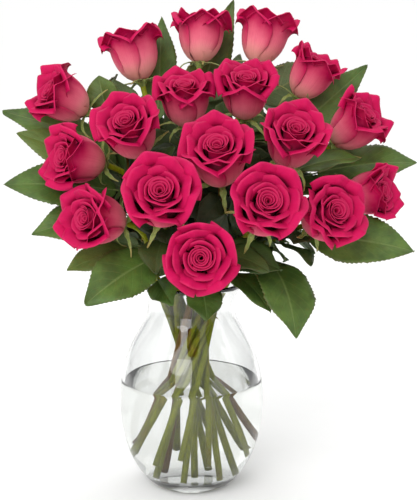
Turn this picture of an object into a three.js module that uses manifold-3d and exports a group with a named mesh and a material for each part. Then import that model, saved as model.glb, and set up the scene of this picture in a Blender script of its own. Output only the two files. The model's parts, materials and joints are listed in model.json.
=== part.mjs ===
// A bouquet of cut roses standing in a waisted glass vase, with water in it.
//
// Millimetres, +Z up. The origin is the middle of the vase's flat foot, on the surface that it stands on.
// -Y is the bouquet's front. The stems lean one way round the bundle, as in a hand-tied spiral, so each one
// passes the others without touching: it runs straight from its cut end to the vase's mouth, and then
// bends out to its flower. Every separate piece is a mesh of its own.

import * as THREE from "three";
import { ParametricGeometry } from "three/addons/geometries/ParametricGeometry.js";
import { mergeVertices } from "three/addons/utils/BufferGeometryUtils.js";
import Module from "manifold-3d";

// ---------------------------------------------------------------- driving sizes

const VASE_HEIGHT = 180;
const FOOT_RADIUS = 30;
const BELLY_RADIUS = 62;
const BELLY_HEIGHT = 76; // of the widest place, above the foot
const NECK_RADIUS = 37;
const LIP_HEIGHT = 23; // from the neck up to the rim
const RIM_RADIUS = 45;
const GLASS_WALL = 3;
const GLASS_FOOT = 11; // thickness of the solid glass under the water

const WATER_LEVEL = 94;

const STEM_RADIUS = 2.6;
const WAIST_DEPTH = 35; // from the vase's neck down to where the stems are closest together

const CLEARANCE = 0.3; // gap that touching pieces keep
const STEM_GAP = 0.9; // free space between neighbouring stems where they are closest together
const STEM_TO_GLASS = 4; // free space between the outermost stem and the neck or the rim
const LEAF_ROOM = 5; // free space round a leaf's blade

const LEAF_THICKNESS = 1.2;
const LEAF_STALK_RADIUS = 1.1;
const LEAF_STALK_LENGTH = 16;

const VASE_SEGMENTS = 32;
const BLOOM_SEGMENTS = 10;
const STEM_SIDES = 6;

// Each rose: its flower's middle (its height measured from the vase's rim), the way that the flower faces
// (degrees round from +X, and up from level), and its width across the open petals.
const ROSES = [
  { name: "01", middle: [9, -125, 46], round: -90, up: 12, width: 54 },
  { name: "02", middle: [-21, -110, 88], round: -92, up: 33, width: 58 },
  { name: "03", middle: [57, -110, 81], round: -80, up: 30, width: 57 },
  { name: "04", middle: [-70, -77, 67], round: -134, up: 12, width: 53 },
  { name: "05", middle: [107, -78, 70], round: -62, up: 22, width: 54 },
  { name: "06", middle: [145, -24, 79], round: -29, up: 12, width: 47 },
  { name: "07", middle: [23, -85, 115], round: -97, up: 49, width: 56 },
  { name: "08", middle: [-46, -56, 132], round: -112, up: 45, width: 53 },
  { name: "09", middle: [81, -58, 125], round: -75, up: 48, width: 54 },
  { name: "10", middle: [-88, -48, 111], round: -145, up: 14, width: 51 },
  { name: "11", middle: [-4, -28, 154], round: -97, up: 66, width: 49 },
  { name: "12", middle: [45, -24, 160], round: -86, up: 63, width: 50 },
  { name: "13", middle: [-104, 4, 154], round: -155, up: 32, width: 50 },
  { name: "14", middle: [135, 4, 131], round: -29, up: 42, width: 51 },
  { name: "15", middle: [-48, 44, 187], round: 145, up: 72, width: 52 },
  { name: "16", middle: [8, 60, 201], round: 80, up: 76, width: 50 },
  { name: "17", middle: [62, 60, 200], round: 45, up: 70, width: 52 },
  { name: "18", middle: [101, 32, 170], round: -10, up: 58, width: 47 },
];

// Each leaf: the rose whose stem bears it, how far along the bent part of that stem (0 at the vase's rim,
// 1 at the flower), where its tip reaches (its height measured from the rim), its width, how far its middle
// bows out, and the way that the top of its blade faces.
const LEAVES = [
  { on: "13", along: 0.75, tip: [-160, 25, 142], width: 31, bow: 7, round: -100, up: 40 },
  { on: "13", along: 0.55, tip: [-142, -5, 136], width: 38, bow: 8, round: -110, up: 35 },
  { on: "10", along: 0.65, tip: [-151, -45, 90], width: 42, bow: 6, round: -100, up: 38 },
  { on: "10", along: 0.5, tip: [-130, -40, 48], width: 36, bow: 6, round: -100, up: 40 },
  { on: "04", along: 0.5, tip: [-98, -76, 26], width: 27, bow: 7, round: -110, up: 40 },
  { on: "02", along: 0.42, tip: [-82, -100, 3], width: 44, bow: 9, round: -100, up: 30 },
  { on: "15", along: 0.75, tip: [-23, 82, 222], width: 30, bow: 3, round: -100, up: 5 },
  { on: "16", along: 0.65, tip: [37, 96, 235], width: 34, bow: -9, round: -80, up: 5 },
  { on: "18", along: 0.7, tip: [150, 55, 184], width: 34, bow: 7, round: -70, up: 30 },
  { on: "13", along: 0.85, tip: [-80, 20, 172], width: 28, bow: 6, round: -110, up: 20 },
  { on: "14", along: 0.75, tip: [188, -5, 98], width: 40, bow: 6, round: -80, up: 45 },
  { on: "05", along: 0.72, tip: [181, -60, 38], width: 48, bow: 6, round: -75, up: 42 },
  { on: "05", along: 0.42, tip: [83, -98, -26], width: 47, bow: 12, round: -62, up: 15 },
  { on: "03", along: 0.2, tip: [65, -90, -4], width: 26, bow: 8, round: -60, up: 40 },
  { on: "01", along: 0.15, tip: [11, -85, -12], width: 28, bow: 8, round: -90, up: 40 },
  { on: "04", along: 0.12, tip: [-10, -80, -4], width: 24, bow: 6, round: -110, up: 40 },
  { on: "06", along: 0.4, tip: [150, 50, 45], width: 38, bow: 9, round: 40, up: 60 },
  { on: "14", along: 0.45, tip: [110, 95, 75], width: 38, bow: 9, round: 60, up: 50 },
  { on: "18", along: 0.55, tip: [78, 118, 120], width: 38, bow: 9, round: 80, up: 40 },
  { on: "16", along: 0.4, tip: [10, 122, 85], width: 40, bow: 10, round: 90, up: 45 },
  { on: "15", along: 0.5, tip: [-60, 110, 115], width: 38, bow: 9, round: 110, up: 45 },
  { on: "13", along: 0.3, tip: [-115, 65, 65], width: 38, bow: 9, round: 140, up: 50 },
];

// ---------------------------------------------------------------- small helpers

const { Vector2, Vector3, MathUtils } = THREE;
const UP = new Vector3(0, 0, 1);

const material = (color, roughness, metalness = 0) =>
  new THREE.MeshStandardMaterial({ color, roughness, metalness });

const GLASS = material(0xe8efee, 0.05);
const WATER = material(0xdfe8e6, 0.02);
const GREEN_STEM = material(0x5f8a2c, 0.5);
const PINK_PETAL = material(0xd81b60, 0.6);
const GREEN_LEAF = material(0x33581f, 0.45);

const mesh = (name, geometry, finish) => {
  const made = new THREE.Mesh(geometry, finish);
  made.name = name;
  return made;
};

const facing = (round, up) => {
  const a = MathUtils.degToRad(round);
  const e = MathUtils.degToRad(up);
  return new Vector3(Math.cos(a) * Math.cos(e), Math.sin(a) * Math.cos(e), Math.sin(e));
};

// ---------------------------------------------------------------- the vase and its water

// The outside of the glass from the edge of the foot up to the rim, as points of radius and height.
function outerProfile() {
  const side = new THREE.Path();
  const toeHeight = 0.14 * BELLY_HEIGHT;
  side.moveTo(FOOT_RADIUS, 0);
  side.bezierCurveTo(
    BELLY_RADIUS - 18, toeHeight * 0.6,
    BELLY_RADIUS, BELLY_HEIGHT * 0.42,
    BELLY_RADIUS, BELLY_HEIGHT,
  );
  const shoulder = NECK_HEIGHT - BELLY_HEIGHT;
  side.bezierCurveTo(
    BELLY_RADIUS, BELLY_HEIGHT + 0.6 * shoulder,
    NECK_RADIUS + 2, NECK_HEIGHT - 0.24 * shoulder,
    NECK_RADIUS, NECK_HEIGHT,
  );
  const lip = VASE_HEIGHT - NECK_HEIGHT;
  side.bezierCurveTo(
    NECK_RADIUS - 1, NECK_HEIGHT + 0.4 * lip,
    RIM_RADIUS - 4, VASE_HEIGHT - 0.3 * lip,
    RIM_RADIUS, VASE_HEIGHT,
  );
  return side.getPoints(7);
}

const NECK_HEIGHT = VASE_HEIGHT - LIP_HEIGHT;
const OUTSIDE = outerProfile();

// A profile moved by a distance to the left of the way that it runs.
function moved(profile, distance) {
  return profile.map((p, i) => {
    const before = profile[Math.max(i - 1, 0)];
    const after = profile[Math.min(i + 1, profile.length - 1)];
    const along = after.clone().sub(before).normalize();
    return new Vector2(p.x - along.y * distance, p.y + along.x * distance);
  });
}

// The inside of the glass from the middle of its floor up to the rim.
function innerProfile() {
  const wall = moved(OUTSIDE, GLASS_WALL).filter((p) => p.y > GLASS_FOOT + 1);
  wall.at(-1).y = VASE_HEIGHT;
  return [new Vector2(0, GLASS_FOOT), new Vector2(wall[0].x * 0.86, GLASS_FOOT), ...wall];
}

const INSIDE = innerProfile();

// The inner radius of the glass at a height.
function innerRadius(height) {
  const i = INSIDE.findIndex((p, k) => k > 1 && p.y >= height);
  const [low, high] = [INSIDE[i - 1], INSIDE[i]];
  return MathUtils.lerp(low.x, high.x, (height - low.y) / (high.y - low.y));
}

function makeVase() {
  const rimMiddle = new Vector2((RIM_RADIUS + INSIDE.at(-1).x) / 2, VASE_HEIGHT + GLASS_WALL * 0.4);
  const profile = [new Vector2(0, 0), ...OUTSIDE, rimMiddle, ...INSIDE.toReversed()];
  const glass = new THREE.LatheGeometry(profile, VASE_SEGMENTS);
  glass.rotateX(Math.PI / 2);
  return mesh("vase", glass, GLASS);
}

// ---------------------------------------------------------------- how the stems run

for (const rose of ROSES) {
  const [x, y, rise] = rose.middle;
  rose.axis = facing(rose.round, rose.up);
  rose.seat = new Vector3(x, y, VASE_HEIGHT + rise).addScaledVector(rose.axis, -0.46 * rose.width);
}

const WAIST_HEIGHT = NECK_HEIGHT - WAIST_DEPTH;
const FACET = Math.cos(Math.PI / VASE_SEGMENTS); // the glass is this much nearer at the middle of a facet

// Where each stem crosses the waist. It starts from the way that its flower lies, seen from the mouth, and
// stems that would touch are moved apart.
function placeInWaist(lean) {
  const mouth = new Vector3(0, 0, VASE_HEIGHT);
  const turn = Math.atan(lean * (VASE_HEIGHT - WAIST_HEIGHT));
  const spacing = (2 * STEM_RADIUS + STEM_GAP) * 1.14; // a leaning stem's cut across the waist is longer
  const bundle = spacing * 0.56 * Math.sqrt(ROSES.length);
  for (const rose of ROSES) {
    const towards = rose.seat.clone().sub(mouth);
    const fromVertical = towards.angleTo(UP) / (Math.PI / 2);
    const round = Math.atan2(towards.y, towards.x) - turn;
    rose.waist = new Vector2(Math.cos(round), Math.sin(round)).multiplyScalar(bundle * fromVertical);
  }
  for (let step = 0; step < 400; step++) {
    ROSES.forEach((a, i) =>
      ROSES.slice(i + 1).forEach((b) => {
        const apart = b.waist.clone().sub(a.waist);
        const short = spacing - apart.length();
        if (short <= 0) return;
        apart.setLength(short / 2);
        a.waist.sub(apart);
        b.waist.add(apart);
      }),
    );
    for (const rose of ROSES) rose.waist.multiplyScalar(1 - 0.008 * (1 - step / 400));
  }
  const middle = new Vector2();
  for (const rose of ROSES) middle.addScaledVector(rose.waist, 1 / ROSES.length);
  for (const rose of ROSES) rose.waist.sub(middle);
}

// How steeply the bundle opens above its waist: as far as the neck and the rim leave room for.
function leanThatFits() {
  const outermost = Math.max(...ROSES.map((rose) => rose.waist.length()));
  let lean = Infinity;
  for (let height = WAIST_HEIGHT + 5; height < VASE_HEIGHT; height += 1) {
    const room = (innerRadius(height) * FACET - STEM_RADIUS - STEM_TO_GLASS) / outermost;
    lean = Math.min(lean, Math.sqrt(room ** 2 - 1) / (height - WAIST_HEIGHT));
  }
  return lean;
}

placeInWaist(0.04);
placeInWaist(leanThatFits());
const LEAN = leanThatFits(); // sideways run per millimetre of height, for each millimetre from the axis

// A point on the straight part of a stem.
function inBundle(rose, height) {
  const lean = LEAN * (height - WAIST_HEIGHT);
  const { x, y } = rose.waist;
  return new Vector3(x - lean * y, y + lean * x, height);
}

// A stem is cut where it would meet the glass: on the floor of the vase, or on its wall.
function cutHeight(rose) {
  const room = STEM_RADIUS * 1.2 + 1.5;
  const free = (z) => Math.hypot(inBundle(rose, z).x, inBundle(rose, z).y) < innerRadius(z) * FACET - room;
  let height = WAIST_HEIGHT - 20;
  while (height > GLASS_FOOT + STEM_RADIUS && free(height - 1)) height -= 1;
  return height;
}

for (const rose of ROSES) {
  const cut = inBundle(rose, cutHeight(rose));
  const mouth = inBundle(rose, VASE_HEIGHT);
  const along = mouth.clone().sub(cut).normalize();
  const reach = mouth.distanceTo(rose.seat);
  rose.cut = cut;
  rose.bend = new THREE.CubicBezierCurve3(
    mouth,
    mouth.clone().addScaledVector(along, reach * 0.35),
    rose.seat.clone().addScaledVector(rose.axis, -reach * 0.4),
    rose.seat,
  );
}

// Moves a bend by what it takes to carry one of its points along a push.
function pushBend(bend, share, push) {
  const low = 3 * share * (1 - share) ** 2;
  const high = 3 * share ** 2 * (1 - share);
  const give = 0.7 / (low * low + high * high);
  bend.v1.addScaledVector(push, low * give);
  bend.v2.addScaledVector(push, high * give);
}

// Stems that would touch where they bend out to their flowers are moved apart.
function settleBends() {
  for (let step = 0; step < 40; step++) {
    const runs = ROSES.map(({ bend }) => {
      const count = Math.ceil(bend.getLength() / 6);
      return Array.from({ length: count - 2 }, (_, i) => {
        const share = (i + 1) / count;
        return { share, point: bend.getPoint(share) };
      });
    });
    ROSES.forEach((a, i) =>
      ROSES.slice(i + 1).forEach((b, j) => {
        for (const p of runs[i]) {
          for (const q of runs[i + 1 + j]) {
            const apart = q.point.clone().sub(p.point);
            const short = 2 * STEM_RADIUS + STEM_GAP - apart.length();
            if (short <= 0) continue;
            apart.setLength(short / 2);
            pushBend(b.bend, q.share, apart);
            pushBend(a.bend, p.share, apart.negate());
          }
        }
      }),
    );
  }
}

settleBends();

for (const rose of ROSES) {
  rose.path = new THREE.CurvePath();
  rose.path.add(new THREE.LineCurve3(rose.cut, rose.bend.v0));
  rose.path.add(rose.bend);
}

function makeStem(rose) {
  const section = new THREE.Shape();
  for (let i = 0; i < STEM_SIDES; i++) {
    const a = (i / STEM_SIDES) * 2 * Math.PI;
    const corner = [Math.cos(a) * STEM_RADIUS, Math.sin(a) * STEM_RADIUS];
    if (i) section.lineTo(...corner);
    else section.moveTo(...corner);
  }
  const steps = Math.round(rose.path.getLength() / 22);
  const tube = new THREE.ExtrudeGeometry(section, { steps, extrudePath: rose.path });
  return mesh(`stem_${rose.name}`, tube, GREEN_STEM);
}

// ---------------------------------------------------------------- the flowers

// Half of a flower's section, as shares of its width: the hip, the cup, the turned-out lip and the dished top.
const CUP = [
  [0, 0], [0.08, 0], [0.11, 0.05], [0.3, 0.18], [0.42, 0.4], [0.44, 0.66], [0.5, 0.84], [0.46, 0.92], [0, 0.83],
];

function makeBloom(rose) {
  const profile = CUP.map(([r, h]) => new Vector2(r * rose.width, Math.max(h * rose.width, CLEARANCE)));
  const cup = new THREE.LatheGeometry(profile, BLOOM_SEGMENTS);
  cup.rotateX(Math.PI / 2);
  const bloom = mesh(`bloom_${rose.name}`, cup, PINK_PETAL);
  bloom.position.copy(rose.seat);
  bloom.quaternion.setFromUnitVectors(UP, rose.axis);
  return bloom;
}

// ---------------------------------------------------------------- the leaves

// The line of a leaf from its stem to its tip, and the two directions across it.
function startLeaf(leaf, i) {
  const rose = ROSES.find((r) => r.name === leaf.on);
  const node = rose.bend.getPoint(leaf.along);
  const along = rose.bend.getTangent(leaf.along);
  const [x, y, rise] = leaf.tip;
  leaf.name = `leaf_${String(i + 1).padStart(2, "0")}`;
  leaf.rose = rose;
  leaf.end = new Vector3(x, y, VASE_HEIGHT + rise);
  const away = leaf.end.clone().sub(node).projectOnPlane(along).normalize();
  leaf.start = node.addScaledVector(away, STEM_RADIUS + CLEARANCE + LEAF_STALK_RADIUS / 4);
  turnLeaf(leaf);
  leaf.control = leaf.start.clone().lerp(leaf.end, 0.5).addScaledVector(leaf.top, 2 * leaf.bow);
}

function turnLeaf(leaf) {
  const out = leaf.end.clone().sub(leaf.start).normalize();
  leaf.top = facing(leaf.round, leaf.up).projectOnPlane(out).normalize();
  leaf.side = out.clone().cross(leaf.top);
}

// Points spread over a leaf's blade, each with its share of the leaf's length.
function overBlade(leaf) {
  const midrib = new THREE.QuadraticBezierCurve3(leaf.start, leaf.control, leaf.end);
  return [0.25, 0.4, 0.55, 0.7, 0.85, 1].flatMap((share) =>
    (share < 1 ? [-0.4, 0, 0.4] : [0]).map((across) => ({
      share,
      point: midrib.getPoint(share).addScaledVector(leaf.side, across * leaf.width),
    })),
  );
}

function pushLeaf(leaf, share, push) {
  const bend = 2 * share * (1 - share);
  const reach = share * share;
  const give = 0.6 / (bend * bend + reach * reach);
  leaf.control.addScaledVector(push, bend * give);
  leaf.end.addScaledVector(push, reach * give);
}

// Balls that leaves keep out of: two fill each flower, and the rest follow the stems.
function ballsToAvoid() {
  const balls = [];
  for (const rose of ROSES) {
    const along = (share) => rose.seat.clone().addScaledVector(rose.axis, share * rose.width);
    balls.push({ centre: along(0.62), radius: 0.55 * rose.width + LEAF_THICKNESS });
    balls.push({ centre: along(0.25), radius: 0.3 * rose.width + LEAF_THICKNESS });
    const count = Math.ceil(rose.bend.getLength() / 7);
    for (let i = 0; i < count; i++) {
      balls.push({ centre: rose.bend.getPoint(i / count), radius: STEM_RADIUS + LEAF_ROOM, rose });
    }
  }
  return balls;
}

// Moves the leaves until their blades are clear of the flowers, the stems, the vase and each other.
function settleLeaves() {
  LEAVES.forEach(startLeaf);
  const balls = ballsToAvoid();
  for (let step = 0; step < 80; step++) {
    const blades = LEAVES.map(overBlade);
    LEAVES.forEach((leaf, i) => {
      for (const { share, point } of blades[i]) {
        for (const { centre, radius, rose } of balls) {
          if (rose === leaf.rose && share < 0.5) continue;
          const away = point.clone().sub(centre);
          if (away.length() < radius) pushLeaf(leaf, share, away.setLength(radius - away.length()));
        }
        const out = new Vector3(point.x, point.y, 0);
        const short = RIM_RADIUS + LEAF_ROOM - out.length();
        if (point.z < VASE_HEIGHT + LEAF_ROOM && short > 0) pushLeaf(leaf, share, out.setLength(short));
      }
    });
    LEAVES.forEach((a, i) =>
      LEAVES.slice(i + 1).forEach((b, j) => {
        for (const p of blades[i]) {
          for (const q of blades[i + 1 + j]) {
            const apart = q.point.clone().sub(p.point);
            const short = 2 * LEAF_ROOM - apart.length();
            if (short <= 0) continue;
            apart.setLength(short / 2);
            pushLeaf(b, q.share, apart);
            pushLeaf(a, p.share, apart.negate());
          }
        }
      }),
    );
    LEAVES.forEach(turnLeaf);
  }
}

settleLeaves();

// A leaf is a thin stalk for its first rows, and then a pointed blade.
function makeLeaf(leaf) {
  const midrib = new THREE.QuadraticBezierCurve3(leaf.start, leaf.control, leaf.end);
  const stalk = LEAF_STALK_LENGTH / midrib.getLength();
  const stalkRows = 0.2;
  const blade = new ParametricGeometry(
    (u, v, target) => {
      const onBlade = Math.max((v - stalkRows) / (1 - stalkRows), 0);
      const along = Math.min(v / stalkRows, 1) * stalk + onBlade * (1 - stalk);
      const round = (leaf.width / 2) * Math.sin(Math.PI * onBlade ** 0.85) ** 0.8;
      const closed = v === 0 || v === 1;
      const half = closed ? 0 : Math.max(LEAF_STALK_RADIUS * (1 - onBlade), round);
      const thick = closed ? 0 : LEAF_THICKNESS / 2;
      const a = -u * 2 * Math.PI;
      midrib.getPoint(along, target);
      target.addScaledVector(leaf.side, half * Math.cos(a)).addScaledVector(leaf.top, thick * Math.sin(a));
    },
    6,
    10,
  );
  return mesh(leaf.name, blade, GREEN_LEAF);
}

// ---------------------------------------------------------------- the water, cut round the stems

const wasm = await Module();
wasm.setup();

function toSolid(geometry) {
  const bare = geometry.clone();
  bare.deleteAttribute("normal");
  bare.deleteAttribute("uv");
  const merged = mergeVertices(bare, 1e-3);
  return new wasm.Manifold(
    new wasm.Mesh({
      numProp: 3,
      vertProperties: merged.attributes.position.array,
      triVerts: new Uint32Array(merged.index.array),
    }),
  );
}

function toGeometry(solid) {
  const { vertProperties, triVerts } = solid.getMesh();
  return new THREE.BufferGeometry()
    .setAttribute("position", new THREE.BufferAttribute(vertProperties, 3))
    .setIndex(new THREE.BufferAttribute(triVerts, 1));
}

function makeWater() {
  const wetted = INSIDE.filter((p) => p.y < WATER_LEVEL - 2);
  wetted.push(new Vector2(innerRadius(WATER_LEVEL), WATER_LEVEL));
  const profile = [...moved(wetted, CLEARANCE), new Vector2(0, WATER_LEVEL)];
  profile.at(-2).y = WATER_LEVEL;
  const body = new THREE.LatheGeometry(profile, VASE_SEGMENTS);
  body.rotateX(Math.PI / 2);
  let water = toSolid(body);
  for (const rose of ROSES) {
    const top = inBundle(rose, WATER_LEVEL + 10);
    const lean = top.clone().sub(rose.cut).normalize();
    const bottom = rose.cut.clone().addScaledVector(lean, -CLEARANCE);
    const across = (STEM_RADIUS + CLEARANCE) / Math.cos(Math.PI / STEM_SIDES);
    const channel = new THREE.CylinderGeometry(across, across, bottom.distanceTo(top), STEM_SIDES);
    channel.rotateX(Math.PI / 2);
    channel.applyQuaternion(new THREE.Quaternion().setFromUnitVectors(UP, lean));
    channel.translate(...bottom.clone().lerp(top, 0.5));
    water = water.subtract(toSolid(channel));
  }
  return mesh("water", toGeometry(water), WATER);
}

// ---------------------------------------------------------------- the bouquet

const bouquet = new THREE.Group();
bouquet.add(makeVase(), makeWater());
for (const rose of ROSES) bouquet.add(makeStem(rose), makeBloom(rose));
bouquet.add(...LEAVES.map(makeLeaf));

export default bouquet;
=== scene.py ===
"""Roses in a glass vase: petals, leaves, stems, glass and water, made round the bouquet's frame."""

import json
import math

import bmesh
import bpy
import numpy as np
from bpy.props import FloatProperty, FloatVectorProperty, IntProperty, PointerProperty
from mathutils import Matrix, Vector
from mathutils.bvhtree import BVHTree
from mathutils.kdtree import KDTree

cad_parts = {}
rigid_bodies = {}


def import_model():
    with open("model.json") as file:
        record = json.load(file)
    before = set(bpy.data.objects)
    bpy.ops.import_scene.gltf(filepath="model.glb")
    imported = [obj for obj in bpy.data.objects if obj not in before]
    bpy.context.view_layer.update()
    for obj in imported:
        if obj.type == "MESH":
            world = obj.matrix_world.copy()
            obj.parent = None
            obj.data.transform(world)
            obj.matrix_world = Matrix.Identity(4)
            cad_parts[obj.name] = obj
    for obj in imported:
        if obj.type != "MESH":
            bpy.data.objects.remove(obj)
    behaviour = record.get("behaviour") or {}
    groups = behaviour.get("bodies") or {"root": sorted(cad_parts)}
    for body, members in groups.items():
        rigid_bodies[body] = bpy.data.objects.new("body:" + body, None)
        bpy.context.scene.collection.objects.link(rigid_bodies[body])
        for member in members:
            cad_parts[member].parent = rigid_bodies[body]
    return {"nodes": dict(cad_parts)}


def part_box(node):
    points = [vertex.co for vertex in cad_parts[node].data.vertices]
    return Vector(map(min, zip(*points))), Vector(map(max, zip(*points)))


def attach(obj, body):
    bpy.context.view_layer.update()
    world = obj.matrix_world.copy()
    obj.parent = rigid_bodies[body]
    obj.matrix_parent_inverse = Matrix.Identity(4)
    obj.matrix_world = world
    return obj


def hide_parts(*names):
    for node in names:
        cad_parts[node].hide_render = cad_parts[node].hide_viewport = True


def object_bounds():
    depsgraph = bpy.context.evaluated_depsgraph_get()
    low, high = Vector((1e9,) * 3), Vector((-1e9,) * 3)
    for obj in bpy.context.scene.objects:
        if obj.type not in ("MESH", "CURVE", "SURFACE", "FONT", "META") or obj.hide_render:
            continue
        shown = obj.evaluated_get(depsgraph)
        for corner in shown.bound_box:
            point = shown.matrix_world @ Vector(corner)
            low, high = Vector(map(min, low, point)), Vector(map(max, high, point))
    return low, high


bl_info = {
    "name": "Roses in a vase",
    "version": (1, 0, 0),
    "blender": (4, 5, 0),
    "location": "3D View > Sidebar > Roses",
    "description": "Makes a bouquet of roses in a glass vase of water",
    "category": "Add Mesh",
}

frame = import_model()
CAD_BOX = [list(corner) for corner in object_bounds()]

MM = 0.001
NODES = frame["nodes"]
ROSES = sorted(name[6:] for name in NODES if name.startswith("bloom_"))
LEAVES = sorted(name for name in NODES if name.startswith("leaf_"))
RIM_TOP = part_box("vase")[1][2]
WATER_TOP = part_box("water")[1][2]


# ------------------------------------------------------------------ reading the frame


def rows_of(node, first):
    """The corners of a CAD node in rows, each row one edge further from the row that first() picks."""
    shape = bmesh.new()
    shape.from_mesh(NODES[node].data)
    bmesh.ops.remove_doubles(shape, verts=shape.verts, dist=2e-5)
    shape.verts.index_update()
    places = np.array([v.co[:] for v in shape.verts])
    reach = [[e.other_vert(v).index for e in v.link_edges] for v in shape.verts]
    shape.free()
    row = list(first(places))
    seen = set(row)
    rows = []
    while row:
        rows.append(places[row])
        row = sorted({j for i in row for j in reach[i]} - seen)
        seen.update(row)
    return rows


def unit(vectors):
    """The same directions, one unit long."""
    vectors = np.asarray(vectors, dtype=float)
    length = np.linalg.norm(vectors, axis=-1, keepdims=True)
    return vectors / np.maximum(length, 1e-12)


def along_curve(points, count):
    """Points spaced evenly along a smooth curve through these points."""
    p = np.asarray(points, dtype=float)
    padded = np.vstack([2 * p[0] - p[1], p, 2 * p[-1] - p[-2]])
    t = np.linspace(0, 1, 12, endpoint=False)[:, None]
    fine = [
        0.5 * (2 * b + (c - a) * t + (2 * a - 5 * b + 4 * c - d) * t**2 + (3 * b - a - 3 * c + d) * t**3)
        for a, b, c, d in zip(padded, padded[1:], padded[2:], padded[3:])
    ]
    fine = np.vstack(fine + [p[-1:]])
    gone = np.r_[0, np.cumsum(np.linalg.norm(np.diff(fine, axis=0), axis=1))]
    at = np.linspace(0, gone[-1], count)
    return np.stack([np.interp(at, gone, fine[:, k]) for k in range(fine.shape[1])], axis=1)


def smooth(value, low=0.0, high=1.0):
    """Rises from 0 to 1 between low and high, with no corners."""
    t = np.clip((np.asarray(value, dtype=float) - low) / (high - low), 0, 1)
    return t * t * (3 - 2 * t)


def stem_line(name):
    """The middle line of a stem, from its cut end to its flower."""
    rows = rows_of(f"stem_{name}", lambda p: np.argsort(p[:, 2])[:6])
    return np.array([row.mean(axis=0) for row in rows])


STEM_LINES = {name: stem_line(name) for name in ROSES}


def stem_radius():
    """The stems' radius, out to their corners."""
    first = rows_of(f"stem_{ROSES[0]}", lambda p: np.argsort(p[:, 2])[:6])[0]
    return np.linalg.norm(first - first.mean(axis=0), axis=1).max()


STEM_RADIUS = stem_radius()


def flower_seat(name):
    """Where a flower sits on its stem, the way that it faces, and its width."""
    places = np.array([v.co[:] for v in NODES[f"bloom_{name}"].data.vertices])
    seat = STEM_LINES[name][-1]
    axis = unit(places.mean(axis=0) - seat)
    from_axis = places - seat
    from_axis = from_axis - np.outer(from_axis @ axis, axis)
    return seat, axis, 2 * np.linalg.norm(from_axis, axis=1).max()


SEATS = {name: flower_seat(name) for name in ROSES}


def vase_profile():
    """The vase's section from the edge of its foot up the outside, over the rim and down inside."""
    rows = rows_of("vase", lambda p: np.flatnonzero((p[:, 2] < 1e-5) & (np.hypot(p[:, 0], p[:, 1]) > MM)))
    profile = []
    for row in rows:
        radii = np.hypot(row[:, 0], row[:, 1])
        profile.append((radii.max(), row[radii.argmax(), 2]))
    return np.array(profile)


PROFILE = vase_profile()
RIM_ROW = int(PROFILE[:, 1].argmax())


# ------------------------------------------------------------------ making meshes


class Shape:
    """Gathers points, faces and named values for one mesh."""

    def __init__(self):
        self.points = []
        self.faces = []
        self.values = {}
        self.count = 0

    def add(self, points, faces, **values):
        points = np.asarray(points, dtype=float).reshape(-1, 3)
        self.faces.extend((np.asarray(faces) + self.count).tolist())
        for name, value in values.items():
            full = np.broadcast_to(np.asarray(value, dtype=float).ravel(), (len(points),))
            self.values.setdefault(name, []).append((self.count, full))
        self.points.append(points)
        self.count += len(points)

    def surface(self, grid, around=False, **values):
        """A grid of points as one open surface, joined round if its columns go all the way round."""
        rows, columns = grid.shape[:2]
        self.add(grid, quads(rows, columns, around), **values)

    def sheet(self, grid, thickness, **values):
        """A grid of points as a thin closed sheet. Its value top is 1 on one side and 0 on the other."""
        rows, columns = grid.shape[:2]
        across = np.gradient(grid, axis=1)
        up = np.gradient(grid, axis=0)
        normal = unit(np.cross(across, up))
        half = normal * thickness / 2
        faces = quads(rows, columns)
        n = rows * columns
        index = np.arange(n).reshape(rows, columns)
        loop = np.r_[index[0], index[1:, -1], index[-1, -2::-1], index[-2:0:-1, 0]]
        after = np.roll(loop, -1)
        rim = np.stack([loop, loop + n, after + n, after], axis=1)
        both = {name: np.tile(np.broadcast_to(v, (rows, columns)).ravel(), 2) for name, v in values.items()}
        both["top"] = np.r_[np.ones(n), np.zeros(n)]
        points = np.concatenate([(grid + half).reshape(-1, 3), (grid - half).reshape(-1, 3)])
        self.add(points, np.vstack([faces, faces[:, ::-1] + n, rim]), **both)

    def tube(self, line, radii, sides=12, **values):
        """A closed tube along a line, with one radius for each of its points."""
        out, side = frames_along(line)
        a = np.linspace(0, 2 * math.pi, sides, endpoint=False)[None, :, None]
        radii = np.broadcast_to(radii, (len(line),))[:, None, None]
        grid = line[:, None] + radii * (np.cos(a) * out[:, None] + np.sin(a) * side[:, None])
        ends = [grid[0].mean(axis=0), grid[-1].mean(axis=0)]
        grid = np.concatenate([np.repeat([[ends[0]]], sides, 1), grid, np.repeat([[ends[1]]], sides, 1)])
        full = {}
        for name, value in values.items():
            value = np.broadcast_to(value, (len(line),))
            full[name] = np.repeat(np.r_[value[0], value, value[-1]], sides)
        self.add(grid, quads(*grid.shape[:2], around=True), **full)

    def tree(self):
        """A search tree of the faces so far, to find what passes through them."""
        return BVHTree.FromPolygons(np.concatenate(self.points).tolist(), self.faces)

    def make(self, name, material, replaces=()):
        """The finished piece: it rides on the bouquet's one body and stands for these CAD nodes."""
        mesh = bpy.data.meshes.new(name)
        mesh.from_pydata(np.concatenate(self.points).tolist(), [], self.faces)
        for value_name, parts in self.values.items():
            full = np.zeros(self.count)
            for start, part in parts:
                full[start : start + len(part)] = part
            mesh.attributes.new(value_name, "FLOAT", "POINT").data.foreach_set("value", full)
        tidy = bmesh.new()
        tidy.from_mesh(mesh)
        bmesh.ops.remove_doubles(tidy, verts=tidy.verts, dist=1e-7)
        bmesh.ops.dissolve_degenerate(tidy, edges=tidy.edges, dist=1e-8)
        tidy.to_mesh(mesh)
        tidy.free()
        mesh.materials.append(material)
        mesh.shade_smooth()
        piece = bpy.data.objects.new(name, mesh)
        bpy.context.scene.collection.objects.link(piece)
        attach(piece, "root")
        if replaces:
            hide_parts(*replaces)
        return piece


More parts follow.
